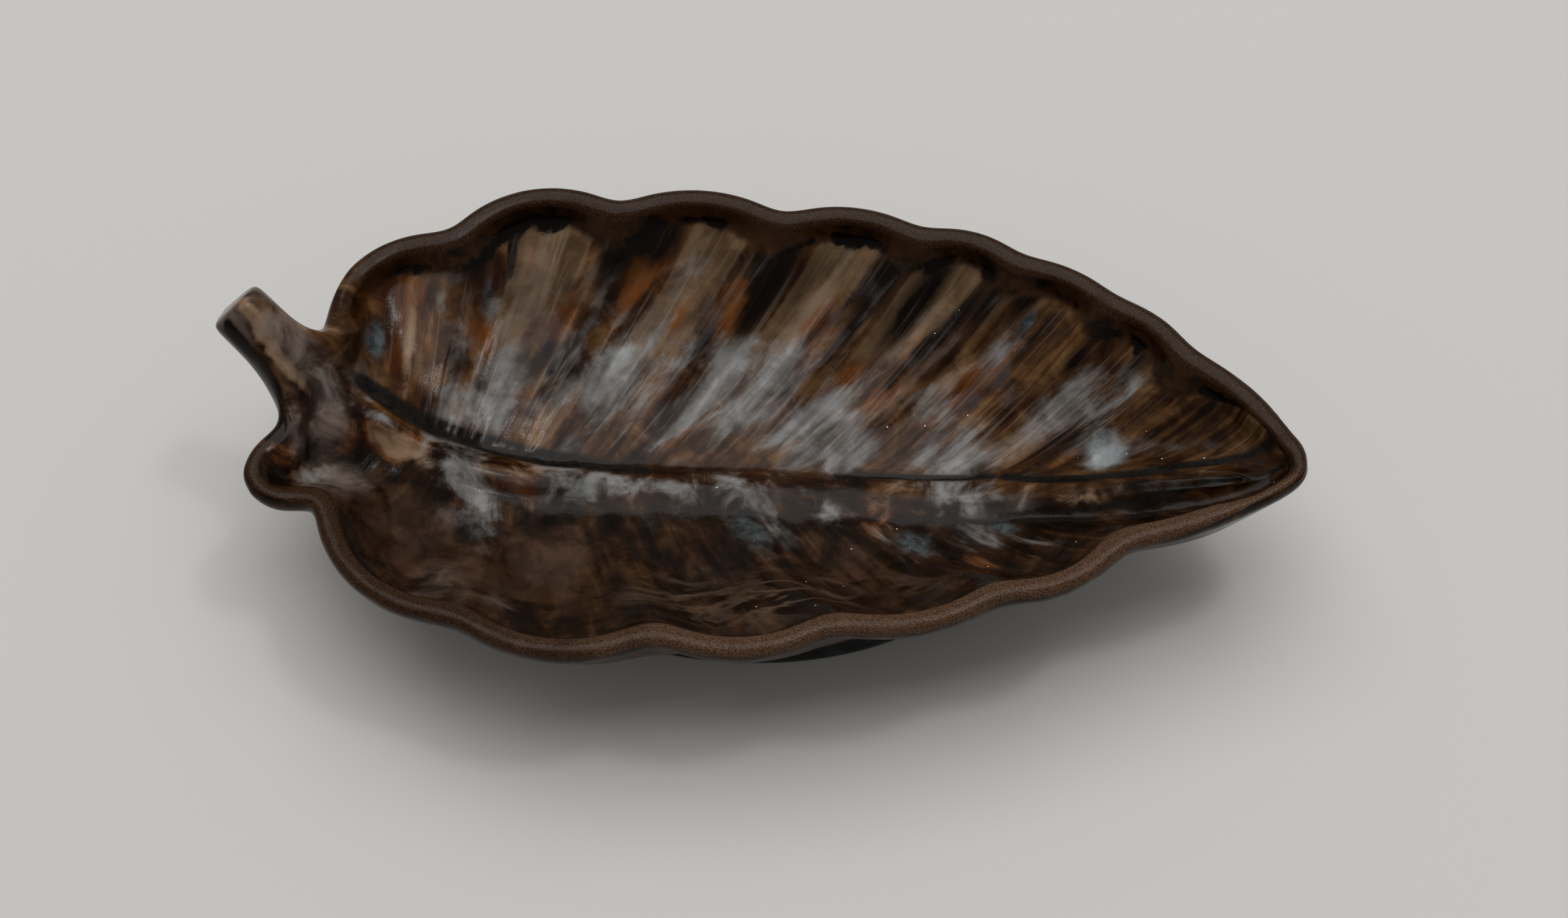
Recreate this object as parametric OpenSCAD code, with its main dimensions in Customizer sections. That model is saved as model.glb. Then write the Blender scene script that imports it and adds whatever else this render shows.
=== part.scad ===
// Leaf-shaped ring dish: a veined, scalloped leaf bowl with its stem, on an oval foot ring.
// The bowl is one moulded wall. Sections across the leaf run from the midrib, along the veins,
// over the rim bead and down the outside to the keel or to the flat land that the foot seats on.

/* [Leaf] */
// Length from the neck of the stem to the tip
leaf_l = 152.5; // [130:0.5:175]
// Reach of the lobes to the far side of the midrib
far_w = 44; // [36:0.5:50]
// Reach of the lobes to the near side of the midrib
near_w = 44.5; // [36:0.5:50]
// Bulge of the largest far lobe beyond the line between its notches
scallop = 7.3; // [5:0.1:8.5]
// Sideways set of the tip, towards the near side
tip_set = 1.8; // [0:0.1:4]
// Sideways sag of the midrib beyond the neck, towards the near side
midrib_sag = 3.6; // [1:0.1:5]
// Sideways bow of the midrib before the tip, towards the far side
midrib_bow = 0.6; // [0:0.1:3]

/* [Bowl] */
// Depth from the rim to the floor
bowl_depth = 18.4; // [15:0.1:24]
// Thickness of the floor over the foot
floor_t = 3.1; // [2.6:0.1:5]
// Rise of the rim at the tip
tip_rise = 2.5; // [0:0.1:5]
// Least thickness of the wall under the channels
wall_t = 3.6; // [3:0.1:5]

/* [Rim] */
// Width of the rounded bead
rim_w = 3.2; // [2.6:0.1:4]
// Drop of the steep lip inside the bead
lip_drop = 3.4; // [2.6:0.1:5]
// Width of the lip between the bead and the crease, in the middle of a lobe
lip_w = 1.4; // [1:0.1:2.2]
// Extra width of the lip at a notch
notch_w = 1.8; // [0:0.1:2.4]

/* [Veins] */
// Depth of the scooped channels between the veins
flute_d = 1.4; // [0.6:0.1:2]
// Width of the midrib where it leaves the stem
rib_w = 8.8; // [6:0.1:10]
// Width of the midrib at the tip
rib_tip_w = 2.4; // [1.6:0.1:4]
// Height of the midrib over the floor where it leaves the stem
rib_h = 1.8; // [1:0.1:2.5]
// Depth of the groove along the far side of the midrib
groove_d = 0.5; // [0:0.1:0.8]

/* [Stem] */
// Diameter of the stem
stem_d = 9.2; // [7.5:0.1:11]
// Length of the stem beyond the neck
stem_l = 11; // [6:0.1:14]
// Angle at which the stem climbs
stem_climb = 38; // [25:1:45]
// Angle at which the stem turns to the far side
stem_turn = 25; // [10:1:35]
// Rounding of the stem's end
stem_round = 1.6; // [0.8:0.1:2.4]
// Width of the neck between its two notches
neck_w = 18; // [16:0.5:21]

/* [Foot] */
// Length of the foot ring
foot_l = 82; // [70:0.5:88]
// Width of the foot ring
foot_w = 53.6; // [44:0.2:56]
// Height of the foot ring
foot_h = 6.5; // [4:0.1:9]
// Width of the foot ring's wall
foot_wall = 5; // [3.5:0.1:8]
// Rounding of the foot ring's outer edge
foot_round = 1.2; // [0.5:0.1:1.8]
// Distance from the neck to the middle of the foot
foot_at = 66; // [60:0.5:70]
// Margin of the flat land round the foot
land_margin = 0.8; // [0.3:0.1:2]

/* [Hidden] */

// Each row is a lobe: its end notch as shares of the length and the reach, its bulge as a share
// of the scallop, and its steps. Both sides have the same number of steps.
FAR_LOBES = [
    [0.115, 0.70, 0.93, 12], [0.283, 0.90, 0.84, 12], [0.454, 0.92, 0.56, 11],
    [0.600, 0.91, 0.43, 9], [0.705, 0.83, 0.32, 7], [0.803, 0.68, 0.23, 7],
    [0.881, 0.455, 0.21, 6], [1, 0, 0.36, 10]
];
NEAR_LOBES = [
    [0.048, 0.49, 1.20, 11], [0.205, 0.90, 0.79, 12], [0.395, 0.89, 0.62, 12],
    [0.560, 0.79, 0.49, 10], [0.713, 0.61, 0.37, 10], [0.826, 0.37, 0.37, 8],
    [1, 0, 0.29, 11]
];
// Where the veins leave the midrib: share of the steps, share of the leaf's length
VEIN_ROOTS = [
    [0, 0.03], [0.155, 0.118], [0.32, 0.184], [0.473, 0.29], [0.6, 0.407],
    [0.69, 0.502], [0.784, 0.604], [0.86, 0.702], [0.93, 0.83], [1, 0.938]
];

// Layers across a section, from the midrib outwards: midrib, slope, lip and bead, outer wall
RIB_STEPS = [0, 0.4, 0.75, 1];
SLOPE_STEPS = [0.1, 0.22, 0.35, 0.48, 0.61, 0.74, 0.87, 1];
LIP_STEPS = [[0.62, 0.74, 0.8], [0.28, 0.42, 0.4], [0.05, 0.17, 0]];
BEAD_TURNS = [45, 90, 125, 150, 180];
UNDERCUT_STEPS = [[0.15, 1.85], [0.8, 2.7]];
WALL_STEPS = [0.14, 0.3, 0.47, 0.65, 0.83, 1];

// Axial places of the stem's sections, as shares of the rounding and then of the length
END_STEPS = [0, 0.12, 0.45, 1];
SHANK_STEPS = [0.4, 0.7, 1];
LOFT_STEPS = [0.35, 0.7];

foot_z = foot_h;
floor_z = foot_z + floor_t;
rim_z = floor_z + bowl_depth;
bead_r = rim_w / 2;
stem_r = stem_d / 2;
land_a = foot_l / 2 + land_margin;
land_b = foot_w / 2 + land_margin;

function sum(v, k = 0) = k >= len(v) ? 0 : v[k] + sum(v, k + 1);
function mix(a, b, t) = a + (b - a) * t;
function ease(t) = let (c = max(0, min(1, t))) c * c * (3 - 2 * c);
function unit(v) = v / norm(v);
function flat(lists) = [for (l = lists) each l];

stem_steps = len(END_STEPS) + len(SHANK_STEPS) + len(LOFT_STEPS);
blade_steps = sum([for (row = FAR_LOBES) row[3]]);
last = stem_steps + blade_steps;
ring_n = 2 * last;

// Outline of the blade

// Notch at the end of lobe k on one side, and the neck before the first lobe
NECK_SET = 1.4;
NECK_SKEW = 0.12;
function reach(side) = side > 0 ? far_w : near_w;
function lobes(side) = side > 0 ? FAR_LOBES : NEAR_LOBES;
function notch(side, k) =
    k < 0 ? [NECK_SET, 0] + side * neck_w / 2 * [NECK_SKEW, 1] :
    k == len(lobes(side)) - 1 ? [leaf_l, -tip_set] :
    [lobes(side)[k][0] * leaf_l, side * lobes(side)[k][1] * reach(side)];

// Points of an arc from a to b that bulges by h to its side
function arc(a, b, h, side, steps) =
    let (half = norm(b - a) / 2)
    let (along = unit(b - a))
    let (out = side * [-along[1], along[0]])
    let (r = (half * half + h * h) / (2 * h))
    let (spread = 2 * atan2(h, half))
    [for (k = [0:steps - 1])
        let (p = spread * (2 * k / steps - 1))
        (a + b) / 2 + along * r * sin(p) + out * (r * cos(p) - r + h)];

function raw_outline(side) = concat(
    flat([for (k = [0:len(lobes(side)) - 1])
        arc(notch(side, k - 1), notch(side, k), lobes(side)[k][2] * scallop, side, lobes(side)[k][3])]),
    [[leaf_l, -tip_set]]);

// The notches and the tip are eased by averaging neighbours
function round_off(p, q) =
    [for (k = [0:len(p) - 1])
        k == 0 ? p[0] :
        k == len(p) - 1 ? (q[k - 1] + 2 * p[k] + p[k - 1]) / 4 :
        (p[k - 1] + 2 * p[k] + p[k + 1]) / 4];
far_line = round_off(raw_outline(1), raw_outline(-1));
near_line = round_off(raw_outline(-1), raw_outline(1));
function line(side) = side > 0 ? far_line : near_line;

// Depth of the channel at each step: none at a notch, full in the middle of a lobe, and shallow in
// the ear on the near side of the neck
EAR_SCOOP = 0.25;
function scoops(side) = concat(
    flat([for (j = [0:len(lobes(side)) - 1])
        let (steps = lobes(side)[j][3])
        let (depth = side < 0 && j == 0 ? EAR_SCOOP : 1)
        [for (k = [0:steps - 1]) depth * sin(180 * k / steps)]]), [0]);
far_scoop = scoops(1);
near_scoop = scoops(-1);

// Inward normal of the outline at step k, turned along the midrib at the tip
function inward(side, k) =
    let (p = line(side))
    let (q = line(-side))
    let (before = k > 1 ? p[k - 2] : p[0])
    let (after = k + 2 <= blade_steps ? p[k + 2] : q[2 * blade_steps - k - 2])
    let (d = unit(after - before))
    side * [d[1], -d[0]];

// Heights along the leaf, and the share of its height that the midrib keeps towards the tip
RIB_TAIL = 0.3;

// Floor of the bowl under the midrib at length s, without the rib. It runs on down from the stem.
function trough_z(s) =
    let (stem_end = pow(max(0, min(1, 1 - (s / leaf_l - 0.01) / 0.26)), 2))
    let (tip_end = ease((s / leaf_l - 0.603) / 0.407))
    floor_z + bowl_depth * (stem_end + tip_end);
function rim_at(s) = rim_z + tip_rise * ease((s / leaf_l - 0.75) / 0.25);
function midrib_y(s) =
    -midrib_sag * ease(s / leaf_l / 0.12)
    + (midrib_sag + midrib_bow) * ease((s / leaf_l - 0.1) / 0.6)
    - (midrib_bow + tip_set) * ease((s / leaf_l - 0.71) / 0.29);
function rib_half(s) = mix(rib_w, rib_tip_w, ease((s / leaf_l - 0.5) / 0.5)) / 2;
function rib_rise(s) = rib_h * mix(1, RIB_TAIL, ease((s / leaf_l - 0.2) / 0.4));

// Midrib point at step k of the blade, as length, side and trough height
function root(k) =
    let (s = lookup(k / blade_steps, VEIN_ROOTS) * leaf_l)
    [s, midrib_y(s), trough_z(s)];
roots = [for (k = [0:blade_steps]) root(k)];

// Keel and land under the bowl

// Shares of the steps over which the bowl's land is flat, and the keel's place under the neck
LAND_FROM = 0.08;
LAND_TO = 0.77;
NECK_KEEL_S = 2;
NECK_KEEL_DROP = 6.5;
neck_keel = [NECK_KEEL_S, 0, rim_z - NECK_KEEL_DROP];
land_start = [foot_at - land_a, 0, foot_z];
land_end = [foot_at + land_a, 0, foot_z];
TIP_KEEL_PAST = 2;
tip_keel = let (s = roots[blade_steps][0] + TIP_KEEL_PAST) [s, midrib_y(s), trough_z(s) - wall_t];
land_k0 = round(LAND_FROM * blade_steps);
land_k1 = round(LAND_TO * blade_steps);

// Inner edge of the outer wall at step k: the keel, then the land's oval, then the keel again
function base(side, k) =
    k < land_k0 ? mix(neck_keel, land_start, k / land_k0) :
    k > land_k1 ? mix(land_end, tip_keel, (k - land_k1) / (blade_steps - land_k1)) :
    let (turn = 180 * (k - land_k0) / (land_k1 - land_k0))
    [foot_at - land_a * cos(turn), side * land_b * sin(turn), foot_z];

// Upper skin of the blade at step k, as points from the midrib to the outside of the bead

// How the slope steepens towards the rim, and the distance from the tip at which the rim narrows
SLOPE_POWER = 1.75;
TIP_ROOM = 11;

function upper_skin(side, k) =
    let (o = line(side)[k])
    let (c = roots[k])
    let (n_in = inward(side, k))
    let (edge_z = rim_at(o[0]))
    let (near_end = max(0.25, min(1, (edge_z - c[2]) / 5)))
    let (lip = lip_drop * near_end)
    let (tip_gap = norm([o[0] - roots[blade_steps][0], o[1] - roots[blade_steps][1]]))
    let (room = min(1, tip_gap / TIP_ROOM))
    let (open = (side > 0 ? far_scoop : near_scoop)[k])
    let (lip_reach = lip_w + notch_w * (1 - open))
    let (crease_w = (rim_w + lip_reach) * room)
    let (scoop = open * flute_d * near_end)
    let (c1 = roots[min(k + 1, blade_steps)])
    let (c0 = roots[max(k - 1, 0)])
    let (run = unit([c1[0] - c0[0], c1[1] - c0[1]]))
    let (across = k == blade_steps ? run : side * [-run[1], run[0]])
    let (half = rib_half(c[0]))
    let (rise = rib_rise(c[0]))
    let (rib_edge = [c[0], c[1]] + across * half)
    let (crease = o + n_in * crease_w)
    let (dip = side > 0 ? groove_d : 0)
    concat(
        [for (f = RIB_STEPS)
            let (p = [c[0], c[1]] + across * half * f)
            [p[0], p[1], c[2] + rise * (1 + cos(180 * f)) / 2 - dip * f * f]],
        [for (f = SLOPE_STEPS)
            let (p = mix(rib_edge, crease, f))
            let (climb = pow(f, mix(1, SLOPE_POWER, near_end)))
            [p[0], p[1], mix(c[2], edge_z - lip, climb) - scoop * ease(f / 0.7)]],
        [for (w = LIP_STEPS)
            let (p = o + n_in * (rim_w + lip_reach * w[0]) * room)
            [p[0], p[1], edge_z - mix(bead_r * 0.1, lip, w[1]) - scoop * w[2]]],
        [for (a = BEAD_TURNS)
            let (p = o + n_in * bead_r * (1 + cos(a)) * room)
            [p[0], p[1], edge_z - bead_r * (1 - sin(a))]]);
far_skin = [for (k = [0:blade_steps]) upper_skin(1, k)];
near_skin = [for (k = [0:blade_steps]) upper_skin(-1, k)];

// Every second section's slope, as samples of the height of the upper skin on each side
slope_from = len(RIB_STEPS);
slope_to = slope_from + len(SLOPE_STEPS) - 1;
function samples(skin) =
    [for (k = [0:2:blade_steps]) each [for (j = [slope_from:slope_to]) skin[k][j]]];
far_samples = samples(far_skin);
near_samples = samples(near_skin);

// Height of the upper skin over the point p, as an average of the samples round it
REACH_R = 3.5;
function skin_z(side, p) =
    let (near_by = side > 0 ? far_samples : near_samples)
    let (w = [for (q = near_by)
        let (dx = q[0] - p[0])
        let (dy = q[1] - p[1])
        exp(-(dx * dx + dy * dy) / (REACH_R * REACH_R))])
    let (all = w * [for (v = w) 1])
    all < 1e-6 ? rim_z : w * [for (q = near_by) q[2]] / all;
function under_skin(side, p) = [p[0], p[1], min(p[2], skin_z(side, p) - wall_t)];

// Outer wall of the blade at step k, from under the bead to the keel or the land
BELLY_DROP = 0.57;
function lower_skin(side, k) =
    let (o = line(side)[k])
    let (n_in = inward(side, k))
    let (edge_z = rim_at(o[0]))
    let (turn_in = [for (d = UNDERCUT_STEPS)
        let (p = o + n_in * bead_r * d[0])
        [p[0], p[1], edge_z - bead_r * d[1]]])
    let (wall_top = turn_in[len(turn_in) - 1])
    let (foot_edge = base(side, k))
    let (belly = [mix(wall_top[0], foot_edge[0], 0.5), mix(wall_top[1], foot_edge[1], 0.5),
        mix(wall_top[2], foot_edge[2], BELLY_DROP)])
    concat(turn_in,
        [for (f = WALL_STEPS)
            let (p = mix(mix(wall_top, belly, f), mix(belly, foot_edge, f), f))
            f == 1 ? foot_edge : under_skin(side, p)]);

function blade_section(side, k) = concat((side > 0 ? far_skin : near_skin)[k], lower_skin(side, k));

layer_n = len(blade_section(1, 1));
edge_layer = len(far_skin[0]) - 1;

// Section of the stem, as the same number of points round a circle. It starts behind the neck,
// set to the far side, and above the rim.
STEM_BACK = 1.6;
STEM_RISE = 2.2;

stem_axis = [-cos(stem_climb) * cos(stem_turn), cos(stem_climb) * sin(stem_turn), sin(stem_climb)];
stem_up = [sin(stem_climb) * cos(stem_turn), -sin(stem_climb) * sin(stem_turn), cos(stem_climb)];
stem_side = [sin(stem_turn), cos(stem_turn), 0];
stem_foot = [-STEM_BACK, STEM_BACK, rim_z + STEM_RISE];
function layer_turn(j) = j <= edge_layer ? 90 * j / edge_layer :
    90 + 90 * (j - edge_layer) / (layer_n - 1 - edge_layer);
function stem_ring(side, at, r, flat_end = false) =
    [for (j = [0:layer_n - 1])
        let (a = layer_turn(j))
        stem_foot + stem_axis * at + stem_up * r * cos(a)
            + stem_side * (flat_end ? 0 : side * r * sin(a))];

function end_section(side, f) =
    let (r = stem_r - stem_round * (1 - sqrt(1 - pow(1 - f, 2))))
    stem_ring(side, stem_l - stem_round * f, f == 0 ? stem_r - stem_round : r, f == 0);
function shank_section(side, f) = stem_ring(side, (stem_l - stem_round) * (1 - f), stem_r);
function loft_section(side, f) =
    let (a = shank_section(side, 1))
    let (b = blade_section(side, 0))
    [for (j = [0:layer_n - 1]) mix(a[j], b[j], f)];

function raw_sections(side) = concat(
    [for (f = END_STEPS) end_section(side, f)],
    [for (f = SHANK_STEPS) shank_section(side, f)],
    [for (f = LOFT_STEPS) loft_section(side, f)],
    [for (k = [0:blade_steps]) blade_section(side, k)]);

// The neck is faired by averaging each section with its neighbours
fair_from = len(END_STEPS) + 1;
fair_to = stem_steps + 4;
function fair(sections) =
    [for (i = [0:last])
        i < fair_from || i > fair_to ? sections[i] :
        (sections[i - 1] + 2 * sections[i] + sections[i + 1]) / 4];
far_sections = fair(fair(raw_sections(1)));
near_sections = fair(fair(raw_sections(-1)));

// Bounding box centre in plan, which the finished part has at its origin
all_x = [for (s = concat(far_sections, near_sections)) each [for (p = s) p[0]]];
all_y = [for (s = concat(far_sections, near_sections)) each [for (p = s) p[1]]];
middle = [(min(all_x) + max(all_x)) / 2, (min(all_y) + max(all_y)) / 2, 0];

// Ring j round the leaf has the far side from the stem to the tip, then the near side back
function at_ring(j, i) = i <= last ? far_sections[i][j] : near_sections[ring_n - i][j];

// The midrib layer is one line that both sides share, so it has its own numbering
function midrib_index(i) = i <= last ? i : ring_n - i;
function index(j, i) =
    let (k = i % ring_n)
    j == 0 ? midrib_index(k) : last + 1 + (j - 1) * ring_n + k;

land_i0 = stem_steps + land_k0;
land_i1 = stem_steps + land_k1;
// The keel is shared by both sides too: its near points are the far ones
function base_index(i) =
    let (k = i % ring_n)
    let (m = midrib_index(k))
    m <= land_i0 || m >= land_i1 ? index(layer_n - 1, m) : index(layer_n - 1, k);

module leaf_bowl() {
    points = concat(
        [for (i = [0:last]) far_sections[i][0]],
        [for (j = [1:layer_n - 1]) each [for (i = [0:ring_n - 1]) at_ring(j, i)]]);
    wall_faces = [for (j = [0:layer_n - 2]) each [for (i = [0:ring_n - 1])
        let (low = j == layer_n - 2)
        let (a = index(j, i))
        let (b = index(j, i + 1))
        let (c = low ? base_index(i + 1) : index(j + 1, i + 1))
        let (d = low ? base_index(i) : index(j + 1, i))
        each [[a, c, b], [a, d, c]]]];
    land_faces = [for (i = [land_i0:land_i1 - 1])
        let (a = base_index(i))
        let (b = base_index(i + 1))
        let (c = base_index(ring_n - i - 1))
        let (d = base_index(ring_n - i))
        each [[a, c, b], [a, d, c]]];
    faces = [for (f = concat(wall_faces, land_faces))
        if (f[0] != f[1] && f[1] != f[2] && f[2] != f[0]) f];
    color("saddlebrown") translate(-middle) polyhedron(points, faces);
}

// Steps round the foot ring, and the chamfer inside its lower edge
FOOT_STEPS = 88;
FOOT_CHAMFER = [0.6, 0.8];

module foot_ring() {
    profile = concat(
        [for (a = [0, 30, 60, 90]) [foot_round * (1 - sin(a)), foot_round * (1 - cos(a))]],
        [[0, foot_h], [foot_wall, foot_h], [foot_wall, FOOT_CHAMFER[1]], [foot_wall - FOOT_CHAMFER[0], 0]]);
    sides = len(profile);
    points = [for (k = [0:FOOT_STEPS - 1])
        let (a = 360 * k / FOOT_STEPS)
        each [for (p = profile)
            [foot_at + (foot_l / 2 - p[0]) * cos(a), (foot_w / 2 - p[0]) * sin(a), p[1]]]];
    faces = [for (k = [0:FOOT_STEPS - 1]) each [for (m = [0:sides - 1])
        let (k1 = (k + 1) % FOOT_STEPS)
        let (m1 = (m + 1) % sides)
        each [[k * sides + m, k * sides + m1, k1 * sides + m1],
            [k * sides + m, k1 * sides + m1, k1 * sides + m]]]];
    color("black") translate(-middle) polyhedron(points, faces);
}

leaf_bowl();
foot_ring();
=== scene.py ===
# %% [markdown]
# ## A glazed ring dish shaped like a leaf
# The dish is one fluted, scalloped leaf in brown reactive glaze on a separate oval foot ring in black
# glaze. The frame holds both as plain solids in metres. This lesson dresses them: the leaf gets a
# smooth skin with the small relief of a hand-finished casting, and a glaze that pools and streaks.

# %% Load the frame
import math

import bmesh
import bpy
import numpy as np
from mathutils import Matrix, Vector, noise
from mathutils.bvhtree import BVHTree


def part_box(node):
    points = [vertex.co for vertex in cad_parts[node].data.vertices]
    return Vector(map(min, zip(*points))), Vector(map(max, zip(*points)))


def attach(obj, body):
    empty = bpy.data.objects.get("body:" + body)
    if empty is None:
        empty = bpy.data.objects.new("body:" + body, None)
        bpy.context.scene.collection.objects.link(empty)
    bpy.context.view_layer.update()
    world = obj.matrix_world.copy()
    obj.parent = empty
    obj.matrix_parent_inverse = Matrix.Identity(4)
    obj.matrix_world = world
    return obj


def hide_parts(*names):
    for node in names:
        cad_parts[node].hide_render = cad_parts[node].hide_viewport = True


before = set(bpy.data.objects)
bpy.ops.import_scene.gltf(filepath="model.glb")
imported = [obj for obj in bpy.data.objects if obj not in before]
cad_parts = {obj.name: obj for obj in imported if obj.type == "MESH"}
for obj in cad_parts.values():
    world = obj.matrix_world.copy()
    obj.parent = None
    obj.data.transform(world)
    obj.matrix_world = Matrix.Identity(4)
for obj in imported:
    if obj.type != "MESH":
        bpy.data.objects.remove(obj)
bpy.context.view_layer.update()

print("solids in the frame:", sorted(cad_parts))

# %% [markdown]
# ## Places on the leaf
# A leaf is easiest to describe along its midrib. Distances here are in millimetres: one runs from the
# neck towards the tip, the other from the midrib out to either side. The foot ring's middle lies on
# that line a known way from the neck, so the solid of the foot gives the neck's place in the frame.

# %% Measure the leaf's own frame
MM = 0.001
FOOT_FROM_NECK = 66.0
foot_low, foot_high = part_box("foot_ring")
neck_x = (foot_low.x + foot_high.x) / 2 / MM - FOOT_FROM_NECK
neck_y = (foot_low.y + foot_high.y) / 2 / MM
print("neck at", round(neck_x, 2), round(neck_y, 2), "mm")


def on_leaf(along, out, height):
    """A place given along and out from the midrib, in mm, as a point of the frame in metres."""
    return Vector((neck_x + along, neck_y + out, height)) * MM


# %% [markdown]
# ## Floor, light and camera
# The dish stands on a pale matt sheet, seen from above at about 55 degrees. One big soft lamp hangs
# over it and a little behind, so its shadow lies soft on the near side. A small lamp to the right puts
# the short wet highlights on the ridges of the glaze. The world is a pale dome, a little dimmer
# towards the viewer, that fills the shadows.

# %% Colour helper
def linear(hex_colour):
    """An sRGB hex colour as the linear colour that a shader socket takes."""
    channels = [int(hex_colour[i : i + 2], 16) / 255 for i in (1, 3, 5)]
    return (*[c / 12.92 if c <= 0.04045 else ((c + 0.055) / 1.055) ** 2.4 for c in channels], 1)


print("pale grey is", [round(c, 3) for c in linear("#c6c5c3")])

# %% Node helper
def add_node(owner, kind, settings=None, **links):
    """Adds one node with its settings. A link's name is the input's name, with _ for a space."""
    node = owner.node_tree.nodes.new(kind)
    for name, value in (settings or {}).items():
        setattr(node, name, value)
    for name, value in links.items():
        key = int(name[1:]) if name[0] == "i" and name[1:].isdigit() else name.replace("_", " ")
        if isinstance(value, bpy.types.NodeSocket):
            owner.node_tree.links.new(value, node.inputs[key])
        else:
            node.inputs[key].default_value = value
    return node


def new_material(name):
    """A material with an empty node tree."""
    material = bpy.data.materials.new(name)
    material.use_nodes = True
    material.node_tree.nodes.clear()
    return material


print("helpers ready")

# %% Floor
FLOOR_SIZE = 4.0
bpy.ops.object.select_all(action="DESELECT")
bpy.ops.mesh.primitive_plane_add(size=FLOOR_SIZE, location=(0, 0, 0))
floor = bpy.context.object
floor.name = "floor"
paper = new_material("matt_paper")
paper_shader = add_node(
    paper, "ShaderNodeBsdfPrincipled", Base_Color=linear("#c9c8c5"), Roughness=0.9
)
add_node(paper, "ShaderNodeOutputMaterial", Surface=paper_shader.outputs[0])
floor.data.materials.append(paper)
print("floor", FLOOR_SIZE, "m square")

# %% Lamps
def hang_lamp(name, place, size, power):
    """A square area lamp that faces the dish."""
    light = bpy.data.lights.new(name, "AREA")
    light.shape = "SQUARE"
    light.size = size
    light.energy = power
    lamp = bpy.data.objects.new(name, light)
    bpy.context.scene.collection.objects.link(lamp)
    lamp.location = place
    lamp.rotation_euler = (-Vector(place)).to_track_quat("-Z", "Y").to_euler()
    print(name, size, "m square")


hang_lamp("overhead_softbox", (-0.1, 0.26, 1.42), 1.5, 15.7)
hang_lamp("small_lamp", (0.46, 0.14, 1.32), 0.16, 1.6)

# %% World: a pale dome, dim towards the viewer
DOME_FROM = (0.1, 0.62, 0.78)
world = bpy.data.worlds.new("studio")
world.use_nodes = True
world.node_tree.nodes.clear()
dome = add_node(world, "ShaderNodeTexCoord")
facing = add_node(
    world, "ShaderNodeVectorMath", {"operation": "DOT_PRODUCT"}, i0=dome.outputs["Generated"], i1=DOME_FROM
)
glow = add_node(
    world, "ShaderNodeMapRange", {"interpolation_type": "SMOOTHSTEP"},
    Value=facing.outputs["Value"], From_Min=-0.6, From_Max=1.0, To_Min=0.4, To_Max=0.62,
)
sky = add_node(world, "ShaderNodeBackground", Color=linear("#c9c8c5"), Strength=glow.outputs[0])
add_node(world, "ShaderNodeOutputWorld", Surface=sky.outputs[0])
bpy.context.scene.world = world
print("dome brightest towards", DOME_FROM)

# %% Camera
CAMERA_AT = on_leaf(101.158, -230.82, 349.661)
CAMERA_AIM = on_leaf(74.5, -2.945, 22.0)
IMAGE_W = 2520
FOCAL_PX = 4280
SENSOR_W = 36.0
lens = bpy.data.cameras.new("camera")
lens.sensor_width = SENSOR_W
lens.lens = FOCAL_PX / IMAGE_W * SENSOR_W
lens.clip_start = 0.01
camera = bpy.data.objects.new("camera", lens)
bpy.context.scene.collection.objects.link(camera)
camera.location = CAMERA_AT
camera.rotation_euler = (CAMERA_AIM - CAMERA_AT).to_track_quat("-Z", "Y").to_euler()
bpy.context.scene.camera = camera
bpy.context.scene.view_settings.view_transform = "Standard"
print("lens", round(lens.lens, 2), "mm")

# %% [markdown]
# ## The leaf's skin
# The real leaf was cast in a mould and its glaze rounds every edge. The solid has flat facets, so a
# copy of it is merged, its triangles are paired to four-sided faces, and Subdivision Surface rounds
# it. That keeps the form of the solid and gives enough points for the small relief that follows.

# %% Copy a solid as a mesh of quads
def quads_from(node, name):
    """A copy of a CAD solid, merged and paired to quads, as a new piece."""
    piece = bpy.data.objects.new(name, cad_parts[node].data.copy())
    bpy.context.scene.collection.objects.link(piece)
    bpy.ops.object.select_all(action="DESELECT")
    bpy.context.view_layer.objects.active = piece
    piece.select_set(True)
    bpy.ops.object.mode_set(mode="EDIT")
    bpy.ops.mesh.select_all(action="SELECT")
    bpy.ops.mesh.customdata_custom_splitnormals_clear()
    bpy.ops.mesh.remove_doubles(threshold=1e-6)
    bpy.ops.mesh.tris_convert_to_quads(face_threshold=math.radians(60), shape_threshold=math.radians(120))
    bpy.ops.object.mode_set(mode="OBJECT")
    print(name, len(piece.data.vertices), "points", len(piece.data.polygons), "faces")
    return piece


def subdivided(piece, levels):
    """Applies Subdivision Surface to a piece."""
    modifier = piece.modifiers.new("round", "SUBSURF")
    modifier.levels = levels
    modifier.render_levels = levels
    bpy.ops.object.select_all(action="DESELECT")
    bpy.context.view_layer.objects.active = piece
    piece.select_set(True)
    bpy.ops.object.modifier_apply(modifier=modifier.name)
    bpy.ops.object.shade_smooth()
    print(piece.name, len(piece.data.vertices), "points after rounding")


leaf = quads_from("leaf_bowl", "glazed_leaf")
subdivided(leaf, 2)

# %% [markdown]
# ## Where the glaze ran
# The glaze ran down the flutes, so its streaks follow the veins and fan out from the midrib. A noise
# on plain coordinates would miss that. Each point of the leaf is therefore given a run: the place on
# the midrib where a vein through that point would start, and its distance from the midrib. Noise
# stretched along that distance streaks as the real glaze does.

# %% The midrib and the veins
LEAF_L = 152.5
RIM_Z = 28.0


def ease(t):
    """A smooth step from 0 to 1."""
    t = np.clip(t, 0, 1)
    return t * t * (3 - 2 * t)


def midrib_out(s):
    """How far out the midrib lies at a length along the leaf: it sags, bows back and ends low."""
    t = s / LEAF_L
    return -3.6 * ease(t / 0.12) + 4.2 * ease((t - 0.1) / 0.6) - 2.4 * ease((t - 0.71) / 0.29)


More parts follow.
